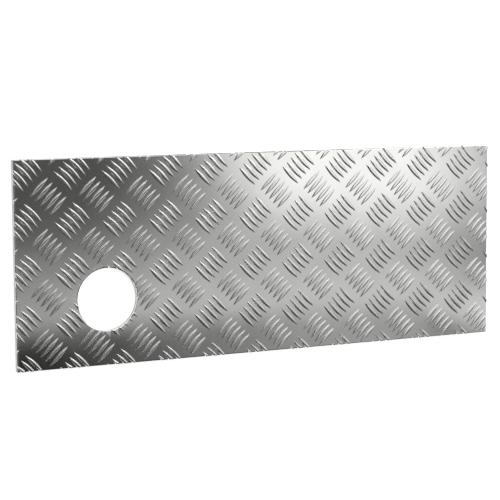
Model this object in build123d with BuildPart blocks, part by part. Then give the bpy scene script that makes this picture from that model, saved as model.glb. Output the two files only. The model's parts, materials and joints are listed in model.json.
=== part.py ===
"""Five-bar tread plate: a sheared piece of rolled sheet with a round cut-out.

The sheet lies flat with its tread up. X runs along its length and Y across
its width. The origin is the middle of the underside, which is at Z = 0.
"""
import os
from math import ceil

from build123d import *

os.makedirs("parts", exist_ok=True)

# Sizes, in millimetres and degrees

# the sheared blank
sheet_length = 600.0
sheet_width = 231.0
sheet_thickness = 6.0

# the round cut-out: its centre from the left end and from the front edge
cutout_diameter = 70.0
cutout_from_end = 105.0
cutout_from_front = 73.5

# one lug: a long lens with three straight facets to each side
lug_length = 28.3
lug_width = 4.3
lug_middle_length = 9.6
lug_height = 1.5
lug_flank_angle = 30.0

# a group of lugs side by side, and the rolled pattern: rows of groups that
# lean one way, with groups that lean the other way in the middle between them
lugs_per_group = 5
lug_spacing = 7.35
row_pitch = 55.0
group_lean = 45.0

# where the shears met the pattern: one group's centre from the left end and
# the back edge, and the pattern's turn against the edges
pattern_from_end = 65.9
pattern_from_back = 69.3
pattern_turn = 0.65

# What follows from the sizes
overall_height = sheet_thickness + lug_height
columns_to_cover = ceil((sheet_length + lug_length) / row_pitch) + 1
rows_to_cover = ceil((sheet_width + lug_length) / row_pitch) + 1
pattern_start = Location(
    (
        pattern_from_end - sheet_length / 2,
        sheet_width / 2 - pattern_from_back,
        sheet_thickness,
    ),
    -pattern_turn,
)


def reaches_sheet(place):
    """Say whether a lug centred at this place touches the sheet."""
    return (
        abs(place.position.X) < (sheet_length + lug_length) / 2
        and abs(place.position.Y) < (sheet_width + lug_length) / 2
    )


def lugs_of_groups(lean, half_step):
    """Give the places of the lugs of all groups that lean one way."""
    places = []
    for column in range(-columns_to_cover, columns_to_cover):
        for row in range(-rows_to_cover, rows_to_cover):
            group = pattern_start * Location(
                ((column + half_step) * row_pitch, (row + half_step) * row_pitch),
                lean,
            )
            for lug_number in range(lugs_per_group):
                from_middle = lug_number - (lugs_per_group - 1) / 2
                places.append(group * Location((0, from_middle * lug_spacing)))
    return [place for place in places if reaches_sheet(place)]


# One lug, its long axis on X and its foot at Z = 0
with BuildPart() as lug:
    with BuildSketch():
        Polygon(
            (lug_length / 2, 0),
            (lug_middle_length / 2, lug_width / 2),
            (-lug_middle_length / 2, lug_width / 2),
            (-lug_length / 2, 0),
            (-lug_middle_length / 2, -lug_width / 2),
            (lug_middle_length / 2, -lug_width / 2),
        )
    extrude(amount=lug_height, taper=lug_flank_angle)

# Outline of the finished plate, seen from above
with BuildSketch() as blank:
    Rectangle(sheet_length, sheet_width)
    with Locations(
        (cutout_from_end - sheet_length / 2, cutout_from_front - sheet_width / 2)
    ):
        Circle(cutout_diameter / 2, mode=Mode.SUBTRACT)

# The plate: sheet, tread, then everything cut to the outline
with BuildPart() as tread_plate:
    add(blank.sketch)
    extrude(amount=sheet_thickness)
    with Locations(
        *lugs_of_groups(-group_lean, 0), *lugs_of_groups(group_lean, 1 / 2)
    ):
        add(lug.part, clean=False)
    add(blank.sketch)
    extrude(amount=overall_height, mode=Mode.INTERSECT, clean=False)

tread_plate.part.label = "tread_plate"
export_step(tread_plate.part, "parts/tread_plate.step")
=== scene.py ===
"""A sheared piece of five-bar tread plate with a round cut-out, lying on a pale floor.

Shapes are worked out in millimetres and become metres when a mesh is made.
"""
import json
import math

import bpy
import numpy as np
from mathutils import Matrix, Vector
from mathutils.geometry import delaunay_2d_cdt


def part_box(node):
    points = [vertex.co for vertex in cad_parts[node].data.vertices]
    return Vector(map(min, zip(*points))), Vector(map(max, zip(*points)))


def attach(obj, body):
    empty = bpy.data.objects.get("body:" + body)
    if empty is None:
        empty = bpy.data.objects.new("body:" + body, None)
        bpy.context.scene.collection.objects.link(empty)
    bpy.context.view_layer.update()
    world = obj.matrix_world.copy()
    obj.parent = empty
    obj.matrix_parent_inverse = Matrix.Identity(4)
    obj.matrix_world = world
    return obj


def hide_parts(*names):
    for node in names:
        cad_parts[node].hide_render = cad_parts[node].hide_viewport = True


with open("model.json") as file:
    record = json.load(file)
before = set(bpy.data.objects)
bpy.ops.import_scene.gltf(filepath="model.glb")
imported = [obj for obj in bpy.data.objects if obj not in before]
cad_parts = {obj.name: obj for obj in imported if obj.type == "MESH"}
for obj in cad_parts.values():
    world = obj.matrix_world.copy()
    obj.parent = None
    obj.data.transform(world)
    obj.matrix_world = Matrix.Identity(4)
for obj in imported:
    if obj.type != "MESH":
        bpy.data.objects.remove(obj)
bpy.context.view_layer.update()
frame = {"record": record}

MM = 0.001

# The sheared blank, in mm, from the frame
plate_low, plate_high = (np.array(corner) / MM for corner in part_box("tread_plate"))
sheet_length, sheet_width, overall_height = plate_high - plate_low
cutout_mount = next(mount for mount in frame["record"]["mounts"] if mount["name"] == "cutout")
cutout_centre = np.array(cutout_mount["pos_m"][:2]) / MM
cutout_radius = cutout_mount["dims"]["r_mm"]

# One lug, in mm: a pointed lens whose section is a flattened ellipse
lug_length = 28.3
lug_width = 4.3
lug_height = 1.5
lug_foot = 0.2          # how far its foot runs out into the sheet
lug_steepest = 2.6      # rise for each unit inward at the foot of its flank
lug_flatness = 6.0      # 2 is a plain ellipse

# The rolled pattern, in mm and degrees
lugs_per_group = 5
lug_spacing = 7.35
row_pitch = 55.0
group_lean = 45.0
pattern_from_end = 65.9
pattern_from_back = 69.3
pattern_turn = 0.65

# Edges, in mm: the shear draws the top of the sheet down over a narrow strip
edge_roll_width, edge_roll_drop = 1.1, 0.5
cutout_roll_width, cutout_roll_drop = 1.2, 0.4
roll_power = 1.3        # 1 is a straight bevel, 2 a parabola

# How finely the surface is divided
ring_depths = (-0.25, -0.02, 0.12, 0.26, 0.45, 0.75, 1.2)
edge_step = 2.0
points_along_lug = 11
roll_steps = (0.0, 0.3, 0.6, 1.0)
cutout_segments = 144
ridge_points, ridge_share = 7, 0.8      # share of the innermost ring's length
section_samples = 300
weld_distance = 1e-4
match_digits = 3        # decimals of a mm in which two points are told apart
least_fall = 1e-4       # keeps the ellipse's slope finite at its foot

# What follows from the sizes
sheet_thickness = overall_height - lug_height
arc_radius = (lug_length**2 + lug_width**2) / (4 * lug_width)
arc_offset = arc_radius - lug_width / 2
pattern_start = np.array([plate_low[0] + pattern_from_end, plate_high[1] - pattern_from_back])


def turned(points, degrees):
    """Turn points about the origin."""
    angle = math.radians(degrees)
    cos, sin = math.cos(angle), math.sin(angle)
    return points @ np.array([[cos, sin], [-sin, cos]])


def lug_section():
    """Depth inside a lug's outline, height and slope, from its foot in to its ridge."""
    half = lug_width / 2
    depth = np.linspace(-lug_foot, half, section_samples)
    from_ridge = np.clip(1 - depth / half, 0, 1)
    fall = np.sqrt(np.maximum(1 - from_ridge**lug_flatness, least_fall))
    ellipse = lug_height / half * lug_flatness / 2 * from_ridge**(lug_flatness - 1) / fall
    slope = np.where(depth < 0, (1 + depth / lug_foot) * lug_steepest,
                     np.minimum(ellipse, lug_steepest))
    rise = np.concatenate([[0], np.cumsum((slope[1:] + slope[:-1]) / 2 * np.diff(depth))])
    return depth, rise * lug_height / rise[-1], slope * lug_height / rise[-1]


def lug_depth(points):
    """How far each point lies inside the nearest lug, and the direction that leads inward."""
    in_pattern = turned(points - pattern_start, pattern_turn)
    best_depth = np.full(len(points), -np.inf)
    best_way = np.zeros_like(points)
    for lean, half_step in ((-group_lean, 0.0), (group_lean, 0.5)):
        cell = np.round(in_pattern / row_pitch - half_step) + half_step
        along, across = turned(in_pattern - cell * row_pitch, -lean).T
        most = (lugs_per_group - 1) / 2
        across = across - np.clip(np.round(across / lug_spacing), -most, most) * lug_spacing
        side = np.where(across < 0, -1.0, 1.0)
        reach = np.hypot(along, np.abs(across) + arc_offset)
        depth = arc_radius - reach
        way = np.stack([-along, -side * (np.abs(across) + arc_offset)], 1) / reach[:, None]
        way = turned(way, lean - pattern_turn)
        nearer = depth > best_depth
        best_depth = np.where(nearer, depth, best_depth)
        best_way = np.where(nearer[:, None], way, best_way)
    return best_depth, best_way


def edge_distances(points):
    """Distance to the sheared outline and to the cut-out, each with the way into the sheet."""
    gaps = np.stack([points[:, 0] - plate_low[0], plate_high[0] - points[:, 0],
                     points[:, 1] - plate_low[1], plate_high[1] - points[:, 1]], 1)
    nearest = gaps.argmin(1)
    ways = np.array([[1, 0], [-1, 0], [0, 1], [0, -1]], float)[nearest]
    from_cutout = points - cutout_centre
    radius = np.hypot(*from_cutout.T)
    return ((gaps.min(1), ways), (radius - cutout_radius, from_cutout / radius[:, None]))


def tread_surface(points):
    """Height of the tread face above the underside, and its unit normal."""
    depth, inward = lug_depth(points)
    section_depth, section_height, section_slope = lug_section()
    height = sheet_thickness + np.interp(depth, section_depth, section_height)
    slope = np.interp(depth, section_depth, section_slope, left=0)
    gradient = inward * slope[:, None]
    rolls = ((edge_roll_width, edge_roll_drop), (cutout_roll_width, cutout_roll_drop))
    for (distance, way), (width, drop) in zip(edge_distances(points), rolls):
        share = 1 - np.clip(distance / width, 0, 1)
        height = height - drop * share**roll_power
        steepness = roll_power * drop / width * share**(roll_power - 1)
        gradient = gradient + way * steepness[:, None]
    normal = np.column_stack([-gradient, np.ones(len(points))])
    return height, normal / np.linalg.norm(normal, axis=1)[:, None]


def lug_rings():
    """Closed rings round one lug lying along X, from its foot to its top, and its ridge."""
    rings = []
    turn = np.linspace(0, math.pi, points_along_lug + 1)
    for depth in ring_depths:
        radius = arc_radius - depth
        tip = math.sqrt(radius**2 - arc_offset**2)
        along = tip * np.cos(turn)
        across = np.sqrt(radius**2 - along**2) - arc_offset
        upper = np.column_stack([along, across])
        rings.append(np.vstack([upper, -upper[1:-1]]))
    tip = math.sqrt((arc_radius - ring_depths[-1])**2 - arc_offset**2)
    along = np.linspace(-ridge_share, ridge_share, ridge_points) * tip
    ridge = np.column_stack([along, np.zeros(ridge_points)])
    return rings, ridge


class Outlines:
    """Points and the edges between them, gathered for one triangulation."""

    def __init__(self):
        self.points, self.edges = [], []

    def add(self, points, closed=True):
        first = len(self.points)
        self.points.extend(map(tuple, points))
        self.edges.extend((first + i, first + i + 1) for i in range(len(points) - 1))
        if closed:
            self.edges.append((first + len(points) - 1, first))

    def triangles(self):
        """Triangulate, and keep what lies on the sheet."""
        places = [Vector(p) for p in self.points]
        found = delaunay_2d_cdt(places, self.edges, [], 0, weld_distance, False)
        points, faces = np.array([tuple(v) for v in found[0]]), np.array(found[2])
        middles = points[faces].mean(1)
        on_sheet = np.ones(len(faces), bool)
        for distance, _ in edge_distances(middles):
            on_sheet &= distance > 0
        faces = faces[on_sheet]
        used, faces = np.unique(faces, return_inverse=True)
        points, faces = points[used], faces.reshape(-1, 3)
        corners = points[faces]
        first, second = corners[:, 1] - corners[:, 0], corners[:, 2] - corners[:, 0]
        clockwise = first[:, 0] * second[:, 1] - first[:, 1] * second[:, 0] < 0
        faces[clockwise] = faces[clockwise][:, ::-1]
        return points, faces


def rectangle(inset):
    """The sheet's outline, moved inward."""
    x0, y0 = plate_low[:2] + inset
    x1, y1 = plate_high[:2] - inset
    corners = np.array([(x0, y0), (x1, y0), (x1, y1), (x0, y1)])
    sides = []
    for start, end in zip(corners, np.roll(corners, -1, axis=0)):
        steps = math.ceil(np.abs(end - start).max() / edge_step)
        sides.append(np.linspace(start, end, steps, endpoint=False))
    return np.vstack(sides)


def cutout_circle(outset):
    """The cut-out's outline, moved outward into the sheet."""
    turn = np.linspace(0, 2 * math.pi, cutout_segments, endpoint=False)
    return cutout_centre + (cutout_radius + outset) * np.column_stack([np.cos(turn), np.sin(turn)])


def tread_outlines():
    """All outlines that the tread face is built on."""
    outlines = Outlines()
    for step in roll_steps:
        outlines.add(rectangle(step * edge_roll_width))
        outlines.add(cutout_circle(step * cutout_roll_width))
    rings, ridge = lug_rings()
    reach = (np.array([sheet_length, sheet_width]) + lug_length) / 2
    columns, rows = (int(n) for n in np.ceil(reach / row_pitch * 2) + 1)
    for lean, half_step in ((-group_lean, 0.0), (group_lean, 0.5)):
        for column in range(-columns, columns):
            for row in range(-rows, rows):
                for lug in range(lugs_per_group):
                    aside = (0, (lug - (lugs_per_group - 1) / 2) * lug_spacing)
                    corner = np.array([column + half_step, row + half_step]) * row_pitch
                    place = turned(turned(np.array([aside]), lean) + corner, -pattern_turn)
                    place = place[0] + pattern_start
                    if np.any(np.abs(place) > reach):
                        continue
                    for ring in rings:
                        outlines.add(turned(ring, lean - pattern_turn) + place)
                    outlines.add(turned(ridge, lean - pattern_turn) + place, closed=False)
    return outlines


def boundary_edges(faces):
    """The edges that only one triangle uses, in that triangle's direction."""
    edges = np.concatenate([faces[:, [0, 1]], faces[:, [1, 2]], faces[:, [2, 0]]])
    ordered = np.sort(edges, axis=1)
    _, first, count = np.unique(ordered, axis=0, return_index=True, return_counts=True)
    return edges[first[count == 1]]


def make_tread_plate():
    """The whole plate as one closed mesh, with true normals."""
    points, top_faces = tread_outlines().triangles()
    height, top_normals = tread_surface(points)
    rim = boundary_edges(top_faces)
    rim_points = np.unique(rim)
    below = np.full(len(points), -1)
    below[rim_points] = len(points) + np.arange(len(rim_points))

    base = Outlines()
    base.points = [tuple(p) for p in points[rim_points]]
    base.edges = [tuple(pair) for pair in np.searchsorted(rim_points, rim)]
    base_points, base_faces = base.triangles()
    rounded_rim = np.round(points[rim_points], match_digits)
    match = {tuple(point): index for index, point in enumerate(rounded_rim)}
    rounded_base = np.round(base_points, match_digits)
    renumber = np.array([match[tuple(point)] for point in rounded_base]) + len(points)
    base_faces = renumber[base_faces][:, ::-1]

    walls = np.column_stack([rim[:, 1], rim[:, 0], below[rim[:, 0]], below[rim[:, 1]]])
    (outline_gap, outline_way), (cutout_gap, cutout_way) = edge_distances(points)
    outward = -np.where((outline_gap < cutout_gap)[:, None], outline_way, cutout_way)
    (wall_gap, wall_way), (bore_gap, _) = edge_distances(points[rim].mean(1))
    on_outline = wall_gap < bore_gap
    wall_normals = np.zeros((len(rim), 4, 3))
    for corner, column in enumerate((1, 0, 0, 1)):
        wall_normals[:, corner, :2] = np.where(
            on_outline[:, None], -wall_way, outward[rim[:, column]])

    vertices = np.vstack([
        np.column_stack([points, height]),
        np.column_stack([points[rim_points], np.zeros(len(rim_points))]),
    ]) * MM
    faces = top_faces.tolist() + walls.tolist() + base_faces.tolist()
    mesh = bpy.data.meshes.new("tread_plate_surface")
    mesh.from_pydata(vertices.tolist(), [], faces)
    mesh.shade_smooth()
    normals = np.vstack([
        top_normals[top_faces].reshape(-1, 3),
        wall_normals.reshape(-1, 3),
        np.tile([0.0, 0.0, -1.0], (len(base_faces) * 3, 1)),
    ])
    mesh.normals_split_custom_set(normals.tolist())
    of_edge = np.zeros(len(faces), np.int32)
    of_edge[len(top_faces):len(top_faces) + len(walls)] = 1
    mesh.polygons.foreach_set("material_index", of_edge)
    plate = bpy.data.objects.new("tread_plate_surface", mesh)
    bpy.context.scene.collection.objects.link(plate)
    triangles = len(top_faces) + 2 * len(walls) + len(base_faces)
    print("vertices", len(vertices), "triangles", triangles)
    return plate


class Socket:
    """A shader socket that Python's operators work on, each adding the node that does it."""

    def __init__(self, maker, socket):
        self.maker, self.socket = maker, socket

    def maths(self, operation, *values, **settings):
        return self.maker.node("ShaderNodeMath", {"operation": operation, **settings}, *values)[0]

    def __add__(self, other):
        return self.maths("ADD", self, other)

    def __radd__(self, other):
        return self.maths("ADD", other, self)

    def __sub__(self, other):
        return self.maths("SUBTRACT", self, other)

    def __rsub__(self, other):
        return self.maths("SUBTRACT", other, self)

    def __mul__(self, other):
        return self.maths("MULTIPLY", self, other)

    def __rmul__(self, other):
        return self.maths("MULTIPLY", other, self)

    def __truediv__(self, other):
        return self.maths("DIVIDE", self, other)

    def __rtruediv__(self, other):
        return self.maths("DIVIDE", other, self)

    def power(self, exponent):
        return self.maths("POWER", self, exponent)

    def at_most(self, other):
        return self.maths("MINIMUM", self, other)

    def at_least(self, other):
        return self.maths("MAXIMUM", self, other)

    def size(self):
        """The value without its sign."""
        return self.maths("ABSOLUTE", self)

    def climb(self, low, high):
        """0 below low, 1 above high, smooth between."""
        return self.maker.node(
            "ShaderNodeMapRange", {"interpolation_type": "SMOOTHSTEP"}, self, low, high)[0]


class Maker:
    """Adds nodes to one tree."""

    def __init__(self, tree):
        self.tree = tree
        self.tree.nodes.clear()

    def node(self, kind, settings=None, *values, **named):
        """Add a node: its settings first, then its sockets' values or links. Gives its outputs."""
        made = self.tree.nodes.new(kind)
        for name, value in (settings or {}).items():
            setattr(made, name, value)
        inputs = list(enumerate(values))
        inputs += [(name.replace("_", " "), value) for name, value in named.items()]
        for key, value in inputs:
            if value is None:
                continue
            if isinstance(value, Socket):
                self.tree.links.new(value.socket, made.inputs[key])
            else:
                made.inputs[key].default_value = value
        return [Socket(self, output) for output in made.outputs]

    def noise(self, place, size_mm, detail=2.0, stretch=(1, 1, 1)):
        """Smooth noise from 0 to 1 whose lumps are about this size, pulled along an axis."""
        scaled = self.node("ShaderNodeVectorMath", {"operation": "MULTIPLY"}, place,
                           tuple(1 / (size_mm * MM * pull) for pull in stretch))[0]
        return self.node("ShaderNodeTexNoise", {}, Vector=scaled, Scale=1.0, Detail=detail)[0]

    def blend(self, share, first, second):
        """Blend two colours. The node's other sockets, for numbers and vectors, stay as they are."""
        unused = (None,) * 5
        return self.node("ShaderNodeMix", {"data_type": "RGBA"}, share, *unused, first, second)[2]

    def object_place(self):
        """The place on the object that is being coloured, in metres."""
        return self.node("ShaderNodeTexCoord")[3]


def new_material(name):
    """A node material and the maker of its nodes."""
    material = bpy.data.materials.new(name)
    material.use_nodes = True
    return material, Maker(material.node_tree)


# Metal colours, and the relief's strength: 1 keeps its heights in mm
bump_strength = 1.0
duller_metal, brighter_metal = (0.77, 0.77, 0.755, 1), (0.83, 0.83, 0.81, 1)
burnished_metal, torn_metal = (0.70, 0.70, 0.685, 1), (0.50, 0.50, 0.49, 1)
cloud_borders = (0.3, 0.7)
torn_borders = (0.52, 0.66)     # the burnished band starts here, as shares of the thickness


def rolled_aluminium():
    """Mill finish: bright metal, softly wavy, with a fine grain along the rolling direction."""
    material, make = new_material("rolled_aluminium")
    place = make.object_place()
    waves = make.noise(place, size_mm=70, detail=1.0, stretch=(1.3, 1, 1))
    ripples = make.noise(place, size_mm=16, detail=2.0, stretch=(1.5, 1, 1))
    grain = make.noise(place, size_mm=1.2, detail=3.0, stretch=(6, 1, 1))
    cloud = make.noise(place, size_mm=38, detail=4.0)
    speckle = make.noise(place, size_mm=2.5, detail=5.0)
    wave_height, ripple_height, grain_height = 0.06, 0.003, 0.0005
    relief = waves * wave_height + ripples * ripple_height + grain * grain_height
    bump = make.node("ShaderNodeBump", {}, bump_strength, MM, Height=relief)[0]
    colour = make.blend(cloud.climb(*cloud_borders), duller_metal, brighter_metal)
    smoothest, clouding, speckling = 0.035, 0.03, 0.02
    roughness = smoothest + clouding * cloud + speckling * speckle
    shader = make.node("ShaderNodeBsdfPrincipled", {}, Base_Color=colour, Metallic=1.0,
                       Roughness=roughness, Normal=bump)[0]
    make.node("ShaderNodeOutputMaterial", {}, shader)
    return material


def sheared_edge():
    """A cut edge: a burnished band near the top, then a duller torn zone with upright scores."""
    material, make = new_material("sheared_edge")
    place = make.object_place()
    height = make.node("ShaderNodeSeparateXYZ", {}, place)[2] / (sheet_thickness * MM)
    scores = make.noise(place, size_mm=0.5, detail=3.0, stretch=(1, 1, 14))
    ragged = make.noise(place, size_mm=5, detail=3.0)
    grit = make.noise(place, size_mm=0.4, detail=4.0)
    raggedness, noise_middle = 0.25, 0.5
    torn = 1 - (height + raggedness * (ragged - noise_middle)).climb(*torn_borders)
    score_depth, grit_depth = 0.05, 0.12
    relief = scores * score_depth + grit * torn * grit_depth
    bump = make.node("ShaderNodeBump", {}, bump_strength, MM, Height=relief)[0]
    colour = make.blend(torn, burnished_metal, torn_metal)
    smoothest, tearing, unevenness = 0.24, 0.22, 0.08
    roughness = smoothest + tearing * torn + unevenness * ragged
    shader = make.node("ShaderNodeBsdfPrincipled", {}, Base_Color=colour, Metallic=1.0,
                       Roughness=roughness, Normal=bump)[0]
    make.node("ShaderNodeOutputMaterial", {}, shader)
    return material


# The floor, in metres, just clear of the underside
floor_half = 12.0
floor_drop = 0.05 * MM
floor_paint = (0.85, 0.85, 0.85, 1)
floor_glow = 0.8        # brings the lit paint up to white, for what looks at it or mirrors it
white = (1, 1, 1, 1)


def add_floor():
    """A plain white floor that keeps the plate's shadow."""
    half = floor_half
    mesh = bpy.data.meshes.new("floor")
    mesh.from_pydata([(-half, -half, 0), (half, -half, 0), (half, half, 0), (-half, half, 0)],
                     [], [(0, 1, 2, 3)])
    floor = bpy.data.objects.new("floor", mesh)
    floor.location.z = -floor_drop
    bpy.context.scene.collection.objects.link(floor)
    material, make = new_material("white_floor")
    rays = make.node("ShaderNodeLightPath")
    from_camera, glossy, transmission = rays[0], rays[3], rays[6]
    seen = (from_camera + glossy + transmission).at_most(1.0)
    paint = make.node("ShaderNodeBsdfDiffuse", {}, floor_paint)[0]
    glow = make.node("ShaderNodeEmission", {}, white, seen * floor_glow)[0]
    both = make.node("ShaderNodeAddShader", {}, paint, glow)[0]
    make.node("ShaderNodeOutputMaterial", {}, both)
    mesh.materials.append(material)


# The studio is a half dome of light and dark places. A place on it is given as across, counted
# to the right, and back: both are 0 overhead, and the horizon is 1 away. Two numbers in a pair
# of borders are where a form begins to show and where it is fully there.

# Soft ovals: middle, long and short half sizes, turn, share that is even, level
dome_level = 0.03
pale_level = 0.45
window_level = 1.15
dome_ovals = (
    (-0.35, 0.90, 0.70, 0.43, 0, 0.75, 1.00),       # window far back, left
    (0.47, 0.24, 0.33, 0.26, 35, 0.2, 0.50),        # pale wall, back right
    (0.36, 0.06, 0.20, 0.15, 20, 0.4, 1.25),        # bright panel beside it
    (0.30, -0.21, 0.11, 0.08, 0, 0.3, 1.00),        # small panel, front right
    (-0.15, -0.22, 0.28, 0.05, 27, 0.4, 0.55),      # strip, front left
    (-0.10, -0.33, 0.22, 0.04, 31, 0.4, 0.35),      # fainter strip below it
    (-0.30, -0.95, 0.60, 0.35, 0, 0.3, 0.40),       # pale wall, far front
)

# Pale walls low at the left and round the horizon, but for a dark sector in front and left
left_wall_way, left_wall_borders = (-0.89, 0.46), (0.61, 0.68)
horizon_borders = (0.48, 0.60)          # of the squared distance from overhead
dark_sector_way, dark_sector_borders = (-0.6, -0.8), (0.25, 0.50)

# A pale wedge overhead, which widens to the left from where the flat sheet looks
wedge_tip, wedge_slope = (0.20, -0.05), 0.47
wedge_borders, wedge_end = (0.0, 0.05), (0.03, 0.06)

# The wide window behind, whose left side leans and then stands upright
window_left_lean, window_upright_from = 0.65, 0.24
window_left_borders = (-0.06, 0.17)
window_right_lean, window_right_borders = 0.4, (0.36, 0.46)
window_front_borders = (-0.02, 0.03)

# What the flat sheet mirrors: a ceiling with a bright panel at the back right, that darkens to
# the left, and a dark front
mirrored_left, mirrored_right = (0.08, 0.14), (0.33, 0.38)
mirrored_front, mirrored_back = (-0.13, -0.10), (-0.02, 0.02)
ceiling_levels, ceiling_borders = (0.42, 0.60), (0.12, 0.30)
panel_level = 1.16
panel_slant_borders, panel_front_borders = (0.158, 0.196), (-0.059, -0.037)
sheet_ovals = (
    (0.14, -0.03, 0.10, 0.05, 0, 0.3, 0.09),        # dark gap over the left end
)
near_gain = 0.22                        # the ceiling's rise toward the front
near_left_borders, near_back_borders = (0.15, 0.18), (-0.078, -0.062)
right_loss = 0.42                       # its fall at the right end
right_borders, right_front_borders = (0.268, 0.300), (-0.078, -0.068)
front_levels, front_level_borders = (0.025, 0.40), (0.148, 0.27)
corner_loss, corner_borders = 0.16, (0.268, 0.285)
front_lean, front_borders = 0.03, (-0.090, -0.083)
corner_cut, corner_cut_from = 0.37, 0.272

# The lamp, in metres and watts
lamp_place = (1.7, 1.3, 1.6)
lamp_size = 1.2
lamp_power = 8

# The camera, in metres, with its lens in mm
camera_place = (-0.81122, 0.21345, 1.70578)
camera_right = (0.906425, -0.00722, 0.422306)
camera_up = (0.053537, 0.993753, -0.09792)
focal_length, sensor_width = 118.36, 36.0
nearest_seen, farthest_seen = 0.05, 60


def add_ovals(level, across, back, ovals):
    """Lay soft ovals over a level, one on the other."""
    for x0, y0, half_long, half_short, turn, even, brightness in ovals:
        cos, sin = math.cos(math.radians(turn)), math.sin(math.radians(turn))
        along = ((across - x0) * cos + (back - y0) * sin) / half_long
        aside = ((back - y0) * cos - (across - x0) * sin) / half_short
        off = (along * along + aside * aside).power(0.5)
        level = level + (1 - off.climb(even, 1.0)) * (brightness - level)
    return level


def between(levels, share):
    """The level at a share of the way from the first to the second."""
    first, second = levels
    return first + (second - first) * share


def toward(across, back, way):
    """How far a place lies in a direction."""
    return way[0] * across + way[1] * back


def pale_walls(across, back):
    """1 on the pale walls and the pale wedge, 0 elsewhere."""
    from_overhead = across * across + back * back
    left_wall = toward(across, back, left_wall_way).climb(*left_wall_borders)
    dark_sector = toward(across, back, dark_sector_way).climb(*dark_sector_borders)
    horizon = from_overhead.climb(*horizon_borders) * (1 - dark_sector)
    tip_across, tip_back = wedge_tip
    inside = wedge_slope * (tip_across - across) - (back - tip_back).size()
    wedge = inside.climb(*wedge_borders) * (1 - from_overhead.climb(*wedge_end))
    return left_wall.at_least(horizon).at_least(wedge)


def wide_window(across, back):
    """1 on the wide window, 0 elsewhere."""
    from_left = across + window_left_lean * back.at_most(window_upright_from)
    from_right = across + window_right_lean * back
    return (from_left.climb(*window_left_borders)
            * (1 - from_right.climb(*window_right_borders))
            * back.climb(*window_front_borders))


def mirrored_ceiling(across, back):
    """The level of what the flat sheet mirrors."""
    ceiling = between(ceiling_levels, across.climb(*ceiling_borders))
    panel = (across + back).climb(*panel_slant_borders) * back.climb(*panel_front_borders)
    ceiling = ceiling + (panel_level - ceiling) * panel
    ceiling = add_ovals(ceiling, across, back, sheet_ovals)
    near = across.climb(*near_left_borders) * (1 - back.climb(*near_back_borders))
    ceiling = ceiling * (1 + near_gain * near)
    right = across.climb(*right_borders) * back.climb(*right_front_borders)
    ceiling = ceiling * (1 - right_loss * right)
    front = between(front_levels, across.climb(*front_level_borders))
    front = front - corner_loss * across.climb(*corner_borders)
    past_corner = (across - corner_cut_from).at_least(0.0)
    border = back - front_lean * across + corner_cut * past_corner
    return front + (ceiling - front) * border.climb(*front_borders)


def light_studio():
    """The half dome as the world's light, and one soft lamp."""
    world = bpy.data.worlds.new("studio")
    bpy.context.scene.world = world
    world.use_nodes = True
    make = Maker(world.node_tree)
    way = make.node("ShaderNodeTexCoord")[0]
    x, y, z = make.node("ShaderNodeSeparateXYZ", {}, way)
    fold = 1 + z.at_least(0.0)
    across, back = x / fold, y / fold
    dome = between((dome_level, pale_level), pale_walls(across, back))
    dome = add_ovals(dome, across, back, dome_ovals)
    dome = dome + (window_level - dome) * wide_window(across, back)
    mirrored = (across.climb(*mirrored_left) * (1 - across.climb(*mirrored_right))
                * back.climb(*mirrored_front) * (1 - back.climb(*mirrored_back)))
    level = dome + (mirrored_ceiling(across, back) - dome) * mirrored
    background = make.node("ShaderNodeBackground", {}, white, level)[0]
    make.node("ShaderNodeOutputWorld", {}, background)

    lamp = bpy.data.lights.new("soft_lamp", "AREA")
    lamp.shape = "DISK"
    lamp.size = lamp_size
    lamp.energy = lamp_power
    holder = bpy.data.objects.new("soft_lamp", lamp)
    holder.location = lamp_place
    holder.rotation_euler = (-holder.location).to_track_quat("-Z", "Y").to_euler()
    bpy.context.scene.collection.objects.link(holder)


def set_camera():
    """The photograph's viewing angle: from high on the left."""
    data = bpy.data.cameras.new("camera")
    data.sensor_width = sensor_width
    data.lens = focal_length
    data.clip_start, data.clip_end = nearest_seen, farthest_seen
    camera = bpy.data.objects.new("camera", data)
    right, up = Vector(camera_right), Vector(camera_up)
    facing = Matrix((right, up, right.cross(up))).transposed()
    camera.matrix_world = Matrix.Translation(camera_place) @ facing.to_4x4()
    bpy.context.scene.collection.objects.link(camera)
    bpy.context.scene.camera = camera


plate = make_tread_plate()
plate.data.materials.append(rolled_aluminium())
plate.data.materials.append(sheared_edge())
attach(plate, "root")
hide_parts("tread_plate")
add_floor()
light_studio()
set_camera()
bpy.context.scene.view_settings.view_transform = "Standard"
